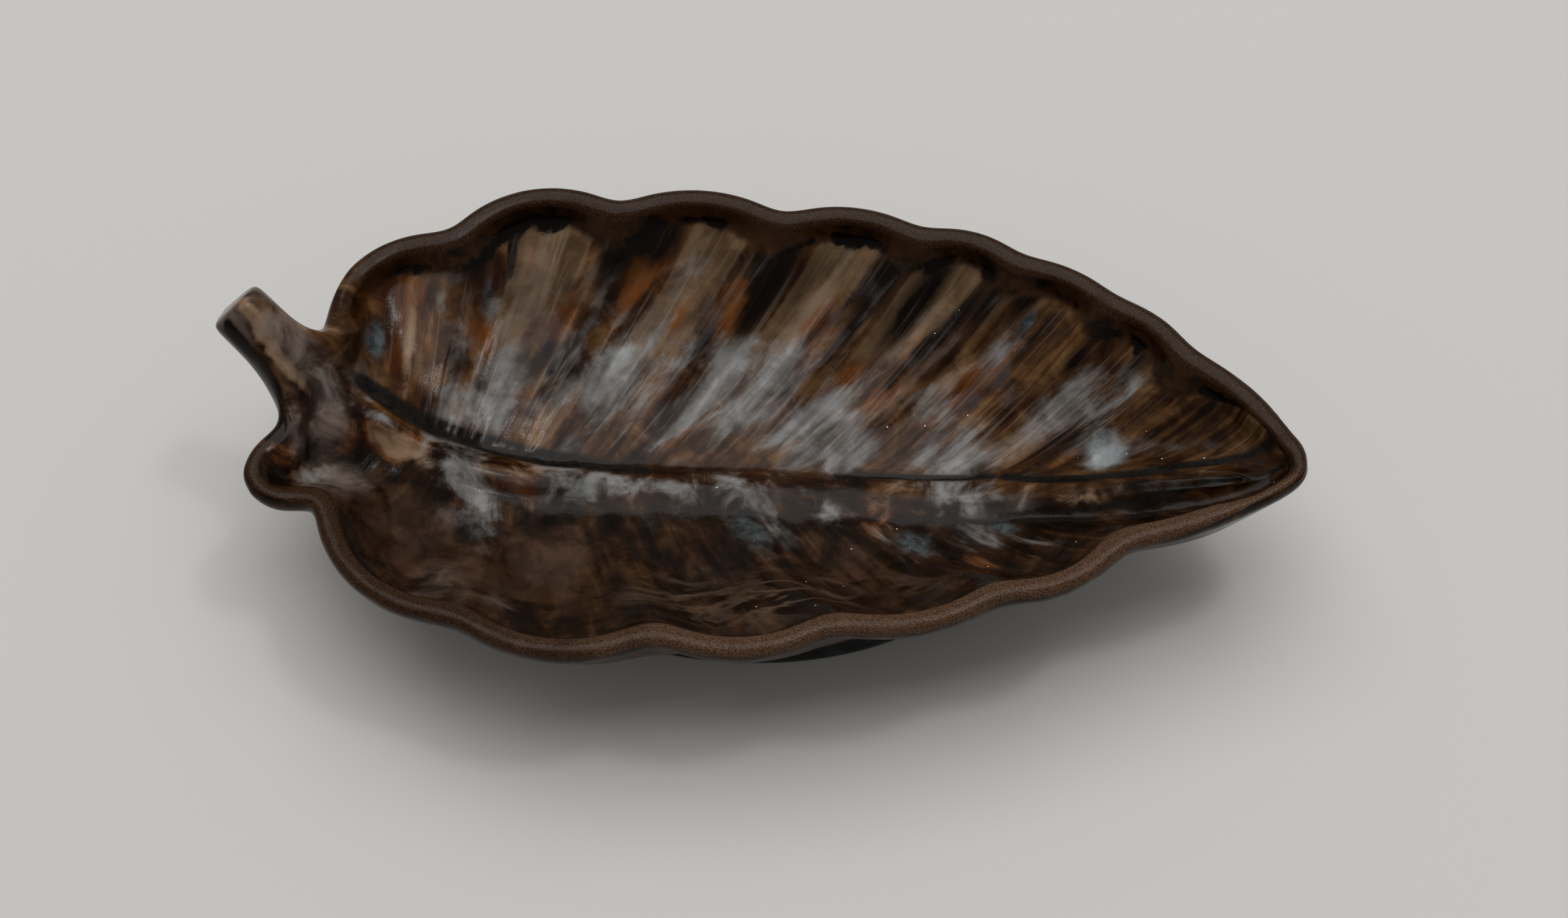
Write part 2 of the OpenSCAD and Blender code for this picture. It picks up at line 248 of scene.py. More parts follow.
# Each row is a vein: where it leaves the midrib, where it meets the rim, and how far out that is
FAR_VEINS = (
    (-20, -30, 20), (4.6, 3.1, 9), (18, 17.6, 31), (28, 43.2, 39.7), (44, 69.2, 40.5), (62, 91.6, 40),
    (76.5, 107.5, 36.6), (92, 122.4, 30), (107, 134.4, 20), (125, 152, 16), (143, 176, 20), (165, 205, 20),
)
NEAR_VEINS = (
    (-20, -30, 20), (4.6, -3, 18), (17.4, 7.3, 21.8), (27.5, 31.3, 38), (44, 60.2, 38.5), (63.5, 85.4, 35),
    (85, 108.7, 27), (105.6, 126, 16.5), (125, 148, 14), (143, 170, 16), (165, 195, 16),
)


def run_of(s, n):
    """The run's start on the midrib, the distance out, the run's slope, and its phase and lobe."""
    v = n - midrib_out(s)
    start, slope, phase, lobe = (np.zeros(len(s)) for _ in range(4))
    for side, veins in ((1, FAR_VEINS), (-1, NEAR_VEINS)):
        for k in range(len(veins) - 1):
            (root_a, end_a, out_a), (root_b, end_b, out_b) = veins[k], veins[k + 1]
            slope_a, slope_b = (end_a - root_a) / out_a, (end_b - root_b) / out_b
            from_s, to_s = root_a + slope_a * np.abs(v), root_b + slope_b * np.abs(v)
            f = (s - from_s) / np.maximum(to_s - from_s, 0.1)
            here = (side * v >= 0) & (f >= 0) & (f < 1)
            start[here] = (root_a + f * (root_b - root_a))[here]
            slope[here] = (slope_a + f * (slope_b - slope_a))[here]
            phase[here], lobe[here] = f[here], k
    return start, v, slope, phase, lobe


print("midrib at", [round(float(midrib_out(s)), 1) for s in (20, 60, 100, 140)], "mm out")

# %% Give each point of the leaf its run
def points_of(piece):
    """A piece's points and their normals, as arrays in mm."""
    mesh = piece.data
    places, normals = np.empty(len(mesh.vertices) * 3), np.empty(len(mesh.vertices) * 3)
    mesh.vertices.foreach_get("co", places)
    mesh.vertices.foreach_get("normal", normals)
    return places.reshape(-1, 3) / MM, normals.reshape(-1, 3)


places, normals = points_of(leaf)
leaf_s, leaf_n, leaf_z = places[:, 0] - neck_x, places[:, 1] - neck_y, places[:, 2]
run_start, run_out, run_slope, run_phase, run_lobe = run_of(leaf_s, leaf_n)
print("runs start from", round(run_start.min()), "to", round(run_start.max()), "mm along the midrib")

# %% Tell the upper skin from the outside
# A point belongs to the upper skin if nothing of the leaf lies straight above it.
shape = bmesh.new()
shape.from_mesh(leaf.data)
tree = BVHTree.FromBMesh(shape)
shape.free()
LIFT = 5e-5
upper = np.array([
    tree.ray_cast(Vector(p) * MM + Vector(q) * LIFT, Vector((0, 0, 1)))[0] is None
    for p, q in zip(places, normals)
], dtype=float)
edges = np.empty(len(leaf.data.edges) * 2, dtype=int)
leaf.data.edges.foreach_get("vertices", edges)
edges = edges.reshape(-1, 2)


def softened(values, times):
    """Values averaged with those of the neighbouring points."""
    for _ in range(times):
        total, count = values.copy(), np.ones(len(values))
        for a, b in ((0, 1), (1, 0)):
            np.add.at(total, edges[:, a], values[edges[:, b]])
            np.add.at(count, edges[:, a], 1)
        values = total / count
    return values


upper_soft = softened(upper, 2)
print(int(upper.sum()), "of", len(upper), "points are on the upper skin")

# %% Depth below the rim
rim_z = RIM_Z + 2.5 * ease((leaf_s / LEAF_L - 0.75) / 0.25)
floor_rise = 18.4 * (np.clip(1 - (leaf_s / LEAF_L - 0.01) / 0.26, 0, 1) ** 2 + ease((leaf_s / LEAF_L - 0.603) / 0.407))
wall_share = np.clip((18.4 - floor_rise) / 5, 0.25, 1)
below_rim = (rim_z - leaf_z) / wall_share
off_stem = np.maximum(ease((leaf_s - 3) / 5), ease((-11 - leaf_n) / 5))
print("deepest point", round(below_rim.max(), 1), "mm below the rim")

# %% [markdown]
# ## Pools and streaks of glaze
# A reactive glaze breaks into pools of amber, milky blue-grey and near black where it is thick or thin.
# Some marks are painted light and shade instead: part of the milky haze is a painted reflection,
# some near-black marks and dark lines are painted shade, and some lilac marks are painted sheen.
# Noise alone can't put them where this dish has them. Each pool is a soft oval mark that lies along
# its run, as if dabbed on with a brush, and is kept as a value on the points. Noise in the material
# then frays the edges.

# %% A brush for the marks
def dabbed(marks):
    """Strength of a list of soft oval marks: place along and out, half length, half width, strength."""
    bare = np.ones(len(leaf_s))
    for s, n, half_length, half_width, strength in marks:
        _, v, slope, _, _ = run_of(np.array([float(s)]), np.array([float(n)]))
        turned = ease(abs(v[0]) / 6)
        way = np.array([slope[0] * turned + 1 - turned, np.sign(v[0]) * turned])
        way /= np.linalg.norm(way)
        ds, dn = leaf_s - s, leaf_n - n
        along, across = ds * way[0] + dn * way[1], ds * way[1] - dn * way[0]
        bare *= 1 - np.clip(strength, 0, 1) * np.exp(-((along / half_length) ** 2) - (across / half_width) ** 2)
    return (1 - bare) * upper_soft


def drawn(lines):
    """Strength of a list of fine lines: half width, strength, and the places along the line."""
    total = np.zeros(len(leaf_s))
    for half_width, strength, *stops in lines:
        for (s0, n0), (s1, n1) in zip(stops, stops[1:]):
            run = np.array([s1 - s0, n1 - n0], dtype=float)
            t = np.clip(((leaf_s - s0) * run[0] + (leaf_n - n0) * run[1]) / (run @ run), 0, 1)
            gap = np.hypot(leaf_s - s0 - t * run[0], leaf_n - n0 - t * run[1])
            total = np.maximum(total, strength * np.exp(-((gap / half_width) ** 2)))
    return total * upper_soft


def keep(name, values):
    """Stores values on the leaf's points."""
    layer = leaf.data.attributes.new(name, "FLOAT", "POINT")
    layer.data.foreach_set("value", values.astype(np.float32))
    print(name, "mean", round(float(values.mean()), 3))


# %% Amber pools
AMBER = (
    (11.5, 21.5, 4.5, 3.4, 1), (12.5, 12, 8, 2.4, 0.8), (16.8, 14, 6, 1.4, 0.7), (24, 18, 3.8, 3.2, 0.9),
    (31.5, 22, 5, 1.6, 0.7), (36, 23, 4, 2.4, 0.9), (30, 32, 5, 1.1, 0.7), (37, 8, 8, 3, 0.9),
    (47, 31, 6, 1.8, 0.8), (51, 36, 4, 1.5, 0.6), (54, 26, 5, 1.6, 0.7), (63, 27, 5, 3.2, 1),
    (76, 26, 6, 2.6, 0.9), (82, 20, 6, 2, 0.7), (88, 18, 9, 2.6, 0.9), (98, 17, 9, 2.6, 0.8),
    (104, 21, 7, 1.8, 0.7), (112, 12, 6, 2.8, 0.5), (108, 8, 3, 2.5, 0.5), (115, 4.5, 8, 1.8, 0.3),
    (118, 0, 8, 2.4, 0.25), (131, 12, 8, 5, 0.25), (124, 26, 6, 3, 0.3), (13, -5.2, 4.5, 1.6, 0.9),
    (8.5, -7.5, 4, 3, 0.6), (18, -2.5, 4, 2, 0.7), (32, -4.5, 6, 3, 0.9), (89, -5, 5, 3.5, 0.45),
    (105, -13, 4, 4, 0.4), (0, -14.5, 2.6, 4, 0.6), (116, -8, 4, 3, 0.4), (6, 14, 6, 2, 0.4),
)
keep("amber", dabbed(AMBER))

# %% Tan streaks, and a painted highlight along the stem
TAN = (
    (15, -4.4, 5, 2.2, 0.8), (21, -3.4, 4, 1.6, 0.5), (35, -3, 4, 3, 0.4), (88, -1, 6, 2, 0.1),
    (115, -1, 8, 3, 0.15), (128, -2, 8, 2.4, 0.2), (140, -1, 6, 2, 0.2), (8, -9, 3, 1.6, 0.4), (11, 5.5, 3, 2, 0.5),
    (29, -3.6, 4, 1.8, 0.8), (13.6, 14, 9, 1.1, 0.7), (16.4, 17, 8, 0.8, 0.6), (36.5, 7, 7, 2.4, 0.8), (24, 14, 5, 0.9, 0.6),
    (33, 20, 7, 1.2, 0.6), (48, 24, 7, 1.6, 0.5), (64, 24, 5, 1.8, 0.5), (80, 22, 9, 1.4, 0.6), (97, 19, 9, 1.6, 0.7),
    (90, 24, 8, 1.2, 0.5), (111, 10, 7, 2.2, 0.6), (104, 13, 6, 1.6, 0.6), (92, 3, 5, 1.8, 0.15), (97, -1.5, 5, 1.2, 0.2),
    (86, 13, 6, 1.4, 0.6), (118, -1.6, 6, 1, 0.25), (13, -13, 3, 1.6, 0.4), (75, 21, 7, 1.2, 0.5),
)
# The pale line along the stem's top ridge is a painted highlight.
STEM_RIDGE_HIGHLIGHT = ((1.2, 0.95, (-7.5, 3.8), (-4.5, 1.2), (-1, -1.6), (2.5, -3.2)),)
keep("tan", np.maximum(dabbed(TAN), drawn(STEM_RIDGE_HIGHLIGHT)))

# %% Warm brown haze on the near wall
WARM = (
    (20, -17, 9, 6, 0.7), (40, -19, 9, 7, 0.9), (30, -27, 10, 6, 0.6), (48, -27, 5, 6, 0.4), (86, -13, 6, 5, 0.5),
    (107, -13, 5, 5, 0.3), (18, -25, 5, 5, 0.5), (66, -23, 5, 5, 0.4), (90, -24, 5, 3, 0.4), (30, 20, 8, 6, 0.3),
)
keep("warm", dabbed(WARM))

# %% Milky blue-grey pools, partly a painted reflection
# The milky blue-grey is partly the glaze's own tone and partly a painted reflection: the broad pale haze over the floor
# of the bowl and beside the midrib stands in for the lamp's reflection.
MILKY_AND_REFLECTION = (
    (58, 13, 13, 8, 0.6), (80, 12, 12, 7, 0.6), (46, 15, 8, 6, 0.55), (100, 8, 9, 5, 0.4), (25, 10, 8, 6, 0.4),
    (5, 0, 6, 3, 0.4), (17, 21, 7, 1.7, 0.5), (20.5, 12, 8, 1.4, 0.7), (25, 24, 4.5, 2, 0.5),
    (28.5, 13, 7, 3, 0.85), (25.5, 5.5, 4, 3.4, 0.75), (37, 15, 7, 2.5, 0.75), (34.5, 31, 6, 3, 0.4),
    (45, 19.5, 6, 3.8, 0.85), (42, 27, 6, 0.9, 0.5), (55.5, 31.5, 5, 2.6, 0.35), (51, 24, 4, 2, 0.5),
    (64, 19.5, 7, 3, 0.8), (70, 19.5, 7, 4, 0.85), (76, 11, 6, 3, 0.7), (84, 8, 5, 4.2, 0.85),
    (66, 12, 6, 3.4, 0.7), (96, 16, 4, 3, 0.7), (101, 9, 5, 4.4, 0.7), (106, 26, 5.5, 2.4, 0.75),
    (116, 16, 7, 3.2, 0.9), (124, 17, 4, 3, 0.85), (120.5, 12, 4, 2.4, 0.6), (128, 8, 3, 2.6, 0.5),
    (24, -2.5, 4.5, 5, 0.8), (27, -8, 5, 4, 0.65), (30, -13, 5, 3, 0.5), (41, -3.5, 5, 5, 0.65),
    (48, -1, 6, 4, 0.35), (58, -4.5, 4, 4, 0.25), (66, -1, 6, 4, 0.35), (72, -5, 7, 2.4, 0.55), (81, -2.5, 7, 3, 0.55), (55, -3, 7, 2, 0.45),
    (92.5, -8, 4, 3, 0.5), (96, -12, 4, 3, 0.5), (104, 0, 7, 4, 0.65), (104, -6, 6, 3, 0.5), (126, -1, 4, 1.6, 0.5),
    (113, -11, 5, 4, 0.3), (6, -13, 5, 3, 0.35), (11, -1.8, 6, 1.2, 0.6),
)
milky_and_reflection = dabbed(MILKY_AND_REFLECTION)
keep("milky_and_reflection", milky_and_reflection)

# %% Pale spot, slate pools, and lilac tone with painted sheen
PALE = ((123, 6.4, 3.6, 3.1, 1), (121, 9.5, 2.2, 1.8, 0.6), (45.5, 21, 2.5, 2, 0.3), (84, 8, 2.5, 2.5, 0.3))
SLATE = (
    (9, 12.5, 4.2, 1.7, 1), (8, 6.5, 2.5, 2, 0.4), (24, 25, 4, 1.4, 0.7), (40, 4, 3.5, 2.4, 0.7),
    (36, 15.5, 2, 1.7, 0.6), (109, 28, 2.6, 1.2, 0.9), (108, -4.5, 3.5, 1.8, 0.8), (70, -9, 8, 5, 0.6),
    (103, 8, 2.4, 2, 0.6), (30, -7.5, 2, 1.4, 0.6), (22, -8, 2.6, 1, 0.5), (60, 10, 5, 3, 0.4),
    (95, -20, 5, 3, 0.35), (50, 19, 2, 3, 0.5), (95, -9, 5, 4, 0.75), (42, -4, 4, 3, 0.5), (22, 2, 3, 3, 0.4),
)
# The lilac marks are partly the glaze's lilac-grey, as on the ear, and partly painted sheen: the lighter sheen on the
# near wall and the pinkish highlights at the neck.
LILAC_AND_SHEEN = (
    (8.5, -14.5, 5.5, 5, 1), (4, -8, 4, 3, 0.8), (26, -31, 8, 4, 0.5), (5, -3, 4, 3, 0.8),
    (36, -32, 3, 3, 0.5), (8, 4, 5, 2.4, 0.7), (2, 1, 5, 3, 1), (-2, 3, 4, 3, 0.5),
    (100, -21, 7, 4, 0.3), (65, -19, 5, 3, 0.3), (22, -14, 8, 4, 0.3),
)
keep("pale", dabbed(PALE))
keep("slate", dabbed(SLATE))
keep("lilac_and_sheen", dabbed(LILAC_AND_SHEEN))

# %% Dark pools and streaks, partly painted shade
# Besides dark pools of glaze, these marks hold painted shade: the dark left flank of each far flute under the crease
# arcs, and a dark streak of shade on the near wall. STEM_SHADE is painted shade along the stem's dark side.
DARK_POOLS_AND_SHADE = (
    (22, 30, 7, 2.2, 0.95), (19, 27, 5, 1.2, 0.6), (44, 33, 7, 2.6, 0.9), (50, 37, 5, 3.2, 1), (36, 16, 2.5, 1.5, 0.6),
    (68.5, 35, 6, 3.4, 1), (67, 29, 8, 1.8, 0.8), (60, 26, 5, 1.4, 0.5), (86.5, 34, 8, 2.8, 0.95),
    (92, 31, 10, 2, 0.9), (82, 26, 9, 1.2, 0.7), (98, 28, 10, 1.4, 0.8), (104, 31, 8, 1.4, 0.9),
    (91, 22, 9, 1.1, 0.6), (110, 32.5, 7, 1.6, 0.9), (117, 21.5, 1.8, 0.7, 1), (121, 25.5, 6, 1.4, 0.6),
    (54, -28, 8, 1.8, 0.8), (99, -17, 6, 4, 0.5), (119, -6.5, 7, 2.2, 0.8), (1, -19.5, 5, 1, 0.6),
    (61, -30, 6, 4, 0.6), (79, -27, 7, 4, 0.65), (71, -20, 6, 3, 0.4), (88, -25, 6, 4, 0.65), (36, -27, 9, 3, 0.3),
    (126, 20, 6, 2, 0.5), (10, 19, 9, 1.6, 0.5), (135, 7, 8, 2, 0.3), (134, -4, 8, 1.4, 0.6), (15, 26, 3, 2, 0.4),
    (74, 33, 7, 1.2, 0.5), (110, 25, 8, 1, 0.5), (58.5, 22, 3.5, 0.8, 0.9), (-9, 6, 3, 2, 0.5),
)
STEM_SHADE = ((0.8, 0.9, (-9, 0.5), (-4, -2.6), (-1.2, -5.5), (-0.6, -8.5)),)
keep("dark", np.maximum(dabbed(DARK_POOLS_AND_SHADE), drawn(STEM_SHADE)))

# %% Painted shade in the grooves beside the midrib, and where pale swirls lie
# The dark lines are painted shade: in the groove beside the midrib, along the edges of the midrib's band near the tip,
# and in a crease of each wall. The relief also sinks the surface a little along them.
GROOVE_SHADE_LINES = (
    (1.6, 0.95, (9, 3.6), (14, 2.4), (20, 1.8), (30, 1.6), (40, 1.5)), (1.8, 0.7, (40, 1.5), (52, 0.8)),
    (0.9, 0.35, (52, 1.4), (64, 2.6), (76, 3.2)), (0.7, 0.7, (82, 3.4), (92, 4.4), (106, 4.6)),
    (0.9, 0.8, (108, 4.2), (118, 2.2), (128, 1.6), (140, 3), (147, 4)),
    (0.6, 0.6, (96, -3), (106, -3.8), (118, -3.7), (128, -3)), (0.7, 0.7, (130, -2.8), (140, -1.6), (148, -0.2)),
    (0.6, 0.9, (27, 29), (26.8, 34), (29, 37)), (1.1, 1, (12, -23.5), (14, -27), (17.5, -32), (19.5, -35)),
)
SWIRLS = ((64, -25, 7, 5, 0.8), (76, -26, 7, 6, 1), (84, -24, 5, 4, 0.7), (56, -27, 3, 4, 0.6), (96, -19, 5, 4, 0.4))
keep("groove", drawn(GROOVE_SHADE_LINES))
keep("swirl", dabbed(SWIRLS))

# %% Painted light on panels in the far flutes
# In the far flutes a lighter taupe panel with a crisp left edge is painted on the side of each flute
# that faces the light: a painted highlight, partly also the glaze's own tone. Each row is a panel's
# share of its lobe, from and to, and its strength.
LIT_PANELS = {1: (0.5, 0.8, 0.2), 2: (0.36, 0.86, 0.9), 3: (0.4, 0.82, 0.9), 4: (0.3, 0.78, 0.85),
    5: (0.16, 0.8, 0.8), 6: (0.2, 0.8, 0.4), 7: (0.3, 0.8, 0.2)}
lit_panel = np.zeros(len(leaf_s))
half_out = np.interp(leaf_s, (0, 40, 90, 120, 150), (22, 39, 38, 28, 8))
for lobe, (begin, end, strength) in LIT_PANELS.items():
    inside = (run_lobe == lobe) & (run_out > 0)
    span = ease((run_phase - begin) / 0.07) * (1 - ease((run_phase - end) / 0.08))
    lit_panel[inside] = (strength * span)[inside]
lit_panel *= ease((run_out / half_out - 0.42) / 0.3) * ease((below_rim - 2.6) / 0.8) * upper_soft
keep("lit_panel", softened(lit_panel, 1))

# %% Rim with painted sheen, painted shade on lip and crease, and stem
on_rim = ease((2.2 - below_rim) / 1.4) * off_stem
far_side = ease((run_out + 6) / 12)
# The lip below the bead is painted shade, deeper on the far side.
lip = ease((below_rim - 0.9) / 0.8) * (1 - ease((below_rim - 3.4) / 1.6)) * upper_soft * off_stem
# The dark crease where the wall meets the bead is painted shade. It wanders, swells in the middle of each far lobe,
# breaks off in places, and is left out of the saddle beside the stem.
wander = np.array([
    noise.noise(Vector((a * 0.3, b * 0.05, 5.5))) + 0.5 * noise.noise(Vector((a * 1.1, b * 0.1, 2.5)))
    for a, b in zip(run_start, run_out)
])
arch = np.sin(np.pi * np.clip(run_phase, 0, 1)) ** 0.6
off_saddle = 1 - (1 - ease((leaf_s - 12) / 6)) * (1 - ease((np.abs(leaf_n) - 20) / 5))
crease = np.exp(-(((below_rim - 3.5 - 1.3 * wander) / (0.35 + 0.6 * far_side * arch * (1 + wander))) ** 2))
crease *= (0.55 + 0.45 * far_side) * (0.3 + 0.7 * arch) * ease(0.75 + 1.2 * wander) * upper_soft * off_saddle
keep("rim", on_rim)
# The sheen on the near rim, growing along the leaf, is a painted highlight.
keep("painted_rim_sheen", on_rim * (1 - far_side) * ease((leaf_s - 10) / 70))
keep("lip", lip * (0.45 + 0.55 * far_side))
keep("crease", softened(crease, 1))
keep("outside", 1 - upper_soft)
keep("dusty", 0.6 * ease((leaf_s - 55) / 50) * ease((below_rim - 4) / 3) * upper_soft)
keep("fluted", (0.1 + 0.35 * milky_and_reflection) * far_side * ease((run_out - 4) / 5) * ease((below_rim - 3) / 3) * upper_soft)
keep("far", far_side * (1 - 0.4 * ease((leaf_s - 110) / 30)))
keep("stem", (1 - ease((leaf_s + 8) / 6)) * ease((leaf_n + 9) / 4))
keep("band", 1 - ease((np.abs(run_out) - 2) / 5.5) * ease((leaf_s - 4) / 8))
run = leaf.data.attributes.new("run", "FLOAT_VECTOR", "POINT")
run.data.foreach_set("vector", np.stack([run_start, run_out, leaf_z], 1).astype(np.float32).ravel())
print("rim and run stored")

# %% [markdown]
# ## Small relief
# Glaze that ran leaves low ridges that catch the light. They are real height, so the points of the
# upper skin are moved along their normals: long ridges down the flutes, a softer unevenness all over,
# and a slight sink along the creases and grooves, whose darkness is painted shade. The rim's top is left true to size.

# %% Move the points
RIDGE_H = 0.12
UNEVEN_H = 0.14
ridges = np.array([
    noise.noise(Vector((a * 0.55, b * 0.07, 3.7))) + 0.6 * noise.noise(Vector((a * 1.3, b * 0.1, 9.1)))
    for a, b in zip(run_start, run_out)
])
uneven = np.array([noise.noise(Vector(p) * 0.16) for p in places])
fade = ease((np.abs(run_out) - 2) / 5) * ease((below_rim - 2) / 3) * upper_soft
lift = RIDGE_H * ridges * fade + UNEVEN_H * uneven * ease((below_rim - 1) / 2)
filled = np.exp(-(((run_out - 4.2) / 2.2) ** 2)) * ease((leaf_s - 46) / 16) * upper_soft
lift += 0.12 * lit_panel * ease((below_rim - 3) / 2)
lift += 0.4 * filled - 0.12 * drawn(GROOVE_SHADE_LINES) - 0.15 * crease * (1 - on_rim)
moved = (places + normals * lift[:, None]) * MM
leaf.data.vertices.foreach_set("co", moved.ravel())
leaf.data.update()
print("relief from", round(lift.min(), 2), "to", round(lift.max(), 2), "mm")

# %% Foot
foot = quads_from("foot_ring", "glazed_foot_ring")
CREASE_FROM = math.radians(35)
bpy.ops.object.select_all(action="DESELECT")
bpy.context.view_layer.objects.active = foot
foot.select_set(True)
bpy.ops.object.mode_set(mode="EDIT")
bpy.ops.mesh.select_mode(type="EDGE")
bpy.ops.mesh.select_all(action="DESELECT")
bpy.ops.mesh.edges_select_sharp(sharpness=CREASE_FROM)
bpy.ops.transform.edge_crease(value=1.0)
bpy.ops.object.mode_set(mode="OBJECT")
creased = sum(1 for edge in foot.data.attributes["crease_edge"].data if edge.value > 0.5)
subdivided(foot, 1)
bpy.ops.object.shade_smooth_by_angle(angle=CREASE_FROM)
print("foot edges held square", creased)

# %% [markdown]
# ## The leaf's glaze
# This is a glossy reactive brown glaze on cast ceramic. Its body is a deep warm brown, fired so that
# streaks and pools of other tones lie in it. The material starts from the brown and lays the pools
# over it one by one, each frayed by streak noise, so that no edge is a clean oval.

# %% Noise that follows the runs
glaze = new_material("reactive_brown_glaze")
run_place = add_node(glaze, "ShaderNodeAttribute", {"attribute_name": "run"}).outputs["Vector"]
skin_place = add_node(glaze, "ShaderNodeTexCoord").outputs["Object"]
STREAKS_PER_MM = (0.42, 0.06, 0.05)
HAIRS_PER_MM = (1.7, 0.05, 0.05)
PATCHES_PER_MM = (0.24, 0.1, 0.08)
streak_place = add_node(
    glaze, "ShaderNodeVectorMath", {"operation": "MULTIPLY"}, i0=run_place, i1=STREAKS_PER_MM
).outputs[0]
hair_place = add_node(
    glaze, "ShaderNodeVectorMath", {"operation": "MULTIPLY"}, i0=run_place, i1=HAIRS_PER_MM
).outputs[0]
patch_place = add_node(
    glaze, "ShaderNodeVectorMath", {"operation": "MULTIPLY"}, i0=run_place, i1=PATCHES_PER_MM
).outputs[0]
streaks = add_node(
    glaze, "ShaderNodeTexNoise", Vector=streak_place, Scale=1.0, Detail=4.0, Roughness=0.5, Distortion=0.6
).outputs["Fac"]
patches = add_node(
    glaze, "ShaderNodeTexNoise", Vector=patch_place, Scale=1.0, Detail=6.0, Roughness=0.62, Distortion=0.35
).outputs["Fac"]
hairs = add_node(
    glaze, "ShaderNodeTexNoise", Vector=hair_place, Scale=1.0, Detail=3.0, Roughness=0.55, Distortion=0.3
).outputs["Fac"]
CLOUD_PER_M = 170
MOTTLE_PER_M = 520
# On the midrib itself the glaze ran along the rib, so there the streaks lie the other way
ALONG_PER_M = (90, 300, 90)
along_place = add_node(
    glaze, "ShaderNodeVectorMath", {"operation": "MULTIPLY"}, i0=skin_place, i1=ALONG_PER_M
).outputs[0]
along = add_node(
    glaze, "ShaderNodeTexNoise", Vector=along_place, Scale=1.0, Detail=4.0, Roughness=0.6, Distortion=0.6
).outputs["Fac"]
band = add_node(glaze, "ShaderNodeAttribute", {"attribute_name": "band"}).outputs["Fac"]
clouds = add_node(
    glaze, "ShaderNodeTexNoise", Vector=skin_place, Scale=CLOUD_PER_M, Detail=5.0, Roughness=0.6, Distortion=0.5
).outputs["Fac"]
streaks = add_node(glaze, "ShaderNodeMix", i0=band, i2=streaks, i3=along).outputs[0]
patches = add_node(glaze, "ShaderNodeMix", i0=band, i2=patches, i3=clouds).outputs[0]
hairs = add_node(glaze, "ShaderNodeMix", i0=band, i2=hairs, i3=along).outputs[0]
mottle = add_node(
    glaze, "ShaderNodeTexNoise", Vector=skin_place, Scale=MOTTLE_PER_M, Detail=4.0, Roughness=0.65, Distortion=0.6
).outputs["Fac"]
print("streaks about", round(1 / STREAKS_PER_MM[0], 1), "mm wide")

# %% Brown body
GRAIN_SHARE = 0.5
grain = add_node(glaze, "ShaderNodeMix", i0=GRAIN_SHARE, i2=streaks, i3=clouds).outputs[0]
# The far wall's tones are lighter and the near wall's darker: painted light and shade on one brown body.
LIT_FAR_TONES = ((0.35, "#0a0401"), (0.43, "#241004"), (0.5, "#39220e"), (0.58, "#573b20"), (0.7, "#785c41"))
SHADED_NEAR_TONES = ((0.36, "#050200"), (0.45, "#120701"), (0.51, "#1f1005"), (0.59, "#372313"), (0.7, "#5a432e"))
bodies = []
for tones in (SHADED_NEAR_TONES, LIT_FAR_TONES):
    body = add_node(glaze, "ShaderNodeValToRGB", Fac=grain)
    while len(body.color_ramp.elements) < len(tones):
        body.color_ramp.elements.new(0.5)
    for element, (place, tone) in zip(body.color_ramp.elements, tones):
        element.position, element.color = place, linear(tone)
    bodies.append(body.outputs["Color"])
far = add_node(glaze, "ShaderNodeAttribute", {"attribute_name": "far"}).outputs["Fac"]
colour = add_node(glaze, "ShaderNodeMix", {"data_type": "RGBA"}, i0=far, i6=bodies[0], i7=bodies[1]).outputs[2]
print("body tones", len(LIT_FAR_TONES) + len(SHADED_NEAR_TONES))

# %% Lay a tone over the glaze where a field says so
noises = {"streaks": streaks, "hairs": hairs, "clouds": clouds, "mottle": mottle, "grain": grain, "patches": patches}


def laid_over(colour, field, fray, bite, begin, full, tone_noise, low_tone, high_tone):
    """The colour with two tones of a pool over it, its edge frayed by a noise."""
    mark = add_node(glaze, "ShaderNodeAttribute", {"attribute_name": field}).outputs["Fac"]
    shifted = add_node(glaze, "ShaderNodeMath", {"operation": "SUBTRACT"}, i0=noises[fray], i1=0.5).outputs[0]
    frayed = add_node(glaze, "ShaderNodeMath", {"operation": "MULTIPLY_ADD"}, i0=shifted, i1=bite, i2=mark)
    # Where there is no mark at all, the fray has nothing to act on
    held = add_node(glaze, "ShaderNodeMath", {"operation": "MULTIPLY", "use_clamp": True}, i0=mark, i1=3.0)
    cover = add_node(
        glaze, "ShaderNodeMapRange", {"interpolation_type": "SMOOTHSTEP"},
        Value=frayed.outputs[0], From_Min=begin, From_Max=full,
    )
    cover = add_node(glaze, "ShaderNodeMath", {"operation": "MULTIPLY"}, i0=cover.outputs[0], i1=held.outputs[0])
    shade = add_node(
        glaze, "ShaderNodeMapRange", {"interpolation_type": "SMOOTHSTEP"},
        Value=noises[tone_noise], From_Min=0.35, From_Max=0.65,
    )
    tone = add_node(
        glaze, "ShaderNodeMix", {"data_type": "RGBA"},
        i0=shade.outputs[0], i6=linear(low_tone), i7=linear(high_tone),
    )
    return add_node(
        glaze, "ShaderNodeMix", {"data_type": "RGBA"}, i0=cover.outputs[0], i6=colour, i7=tone.outputs[2]
    ).outputs[2]


